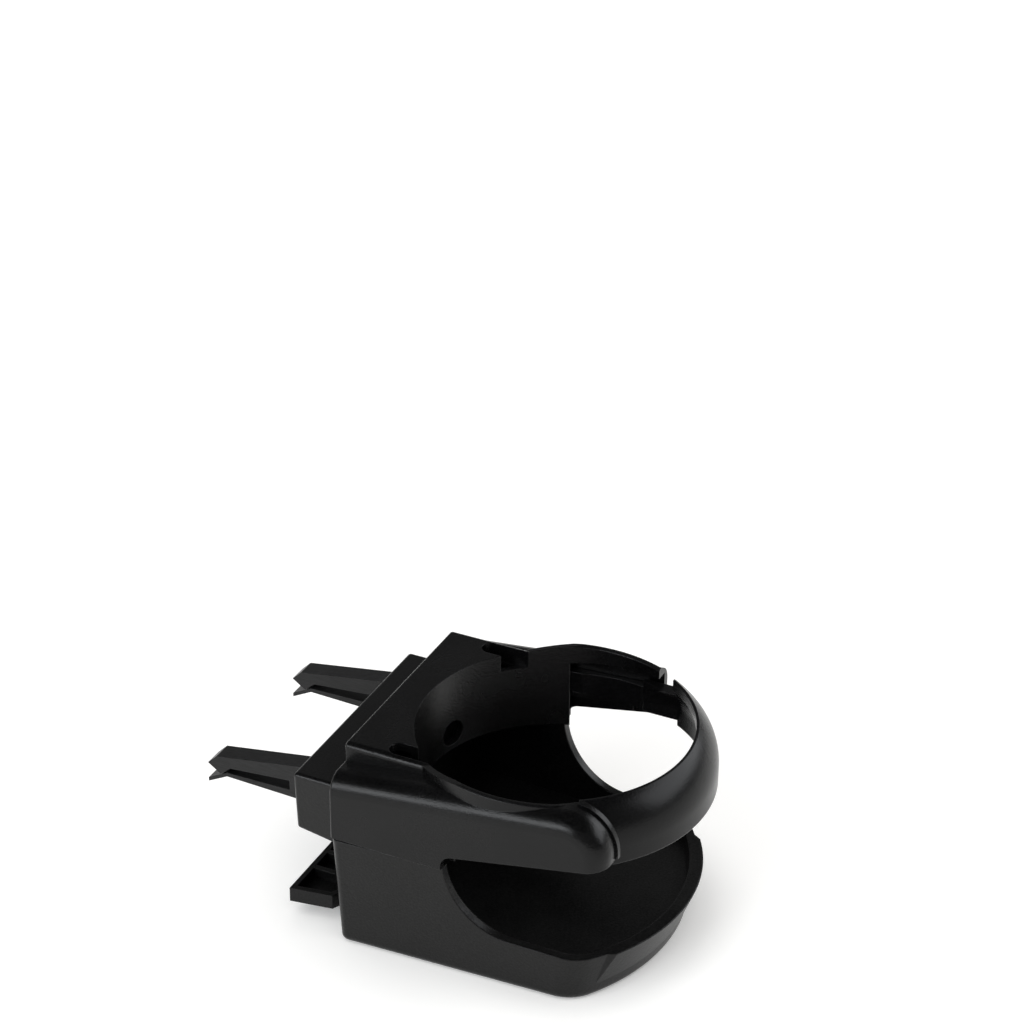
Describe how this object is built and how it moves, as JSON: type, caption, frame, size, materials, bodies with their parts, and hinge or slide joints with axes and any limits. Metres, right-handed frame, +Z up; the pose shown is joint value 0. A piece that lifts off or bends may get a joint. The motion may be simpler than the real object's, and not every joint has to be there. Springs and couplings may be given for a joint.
{
  "type": "vent cup holder",
  "caption": "Black plastic car cup holder with a sliding front hoop, a low tray, vent clips on a rear bracket and a sliding support foot.",
  "frame": {"origin": "on the surface the tray stands on, under the middle of the overall box; the cup axis is 23.2 mm towards -Y", "axes": "+Y towards the air vent, +Z up, +X to the right seen from the cup side looking at the vent"},
  "size_m": [0.077, 0.1284, 0.0581],
  "materials": {
    "black_plastic": "satin, fine moulded grain",
    "plated_steel": "bright plated"
  },
  "bodies": {
    "holder": {"frame": "black_plastic", "tray": "black_plastic", "vent_bracket": "black_plastic", "left_vent_clip": "black_plastic", "right_vent_clip": "black_plastic", "left_bracket_screw": "plated_steel", "right_bracket_screw": "plated_steel"},
    "hoop_slider": {"hoop": "black_plastic"},
    "foot_slider": {"support_foot": "black_plastic"}
  },
  "joints": [
    {"name": "hoop_slide", "type": "slide", "parent": "holder", "child": "hoop_slider", "axis": [0, 1, 0], "range_m": [0, 0.005]},
    {"name": "foot_slide", "type": "slide", "parent": "holder", "child": "foot_slider", "axis": [0, 1, 0], "range_m": [0, 0.016]}
  ]
}
